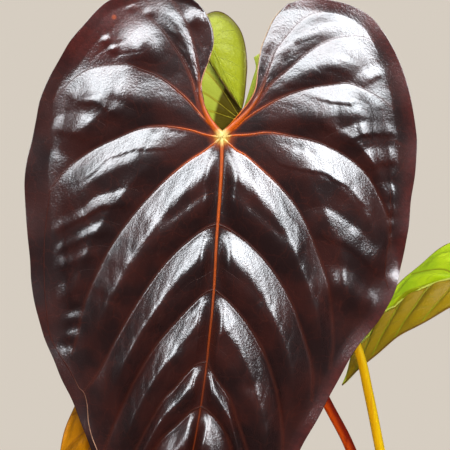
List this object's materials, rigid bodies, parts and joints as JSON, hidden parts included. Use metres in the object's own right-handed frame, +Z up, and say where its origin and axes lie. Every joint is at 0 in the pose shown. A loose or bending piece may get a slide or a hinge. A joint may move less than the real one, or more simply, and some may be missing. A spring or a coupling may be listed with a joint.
{
  "type": "potted queen of hearts anthurium",
  "caption": "Potted anthurium: large dark glossy heart-shaped quilted leaf with smaller green leaves, on petioles that rise from bark soil in a plain tapered pot.",
  "frame": {"origin": "middle of the pot's foot, on the surface it stands on", "axes": "+Z up along the pot's axis; the large leaf faces -Y, with its left half towards -X"},
  "size_m": [0.34, 0.202, 0.5179],
  "materials": {
    "pot": "matte fired clay",
    "soil": "damp bark and soil",
    "crown": "papery brown",
    "dark_leaf": "glossy, dark burgundy",
    "green_leaf": "satin, lime green",
    "olive_leaf": "satin, olive gold",
    "red_petiole": "satin, orange red",
    "yellow_petiole": "satin, yellow"
  },
  "bodies": {
    "root": {"pot": "pot", "soil": "soil", "crown": "crown", "front_leaf": "dark_leaf", "front_petiole": "red_petiole", "lime_leaf": "green_leaf", "lime_petiole": "yellow_petiole", "young_leaf": "green_leaf", "young_petiole": "yellow_petiole", "side_leaf": "green_leaf", "side_petiole": "yellow_petiole", "low_leaf": "olive_leaf", "low_petiole": "yellow_petiole", "back_leaf": "green_leaf", "back_petiole": "yellow_petiole"}
  },
  "joints": []
}
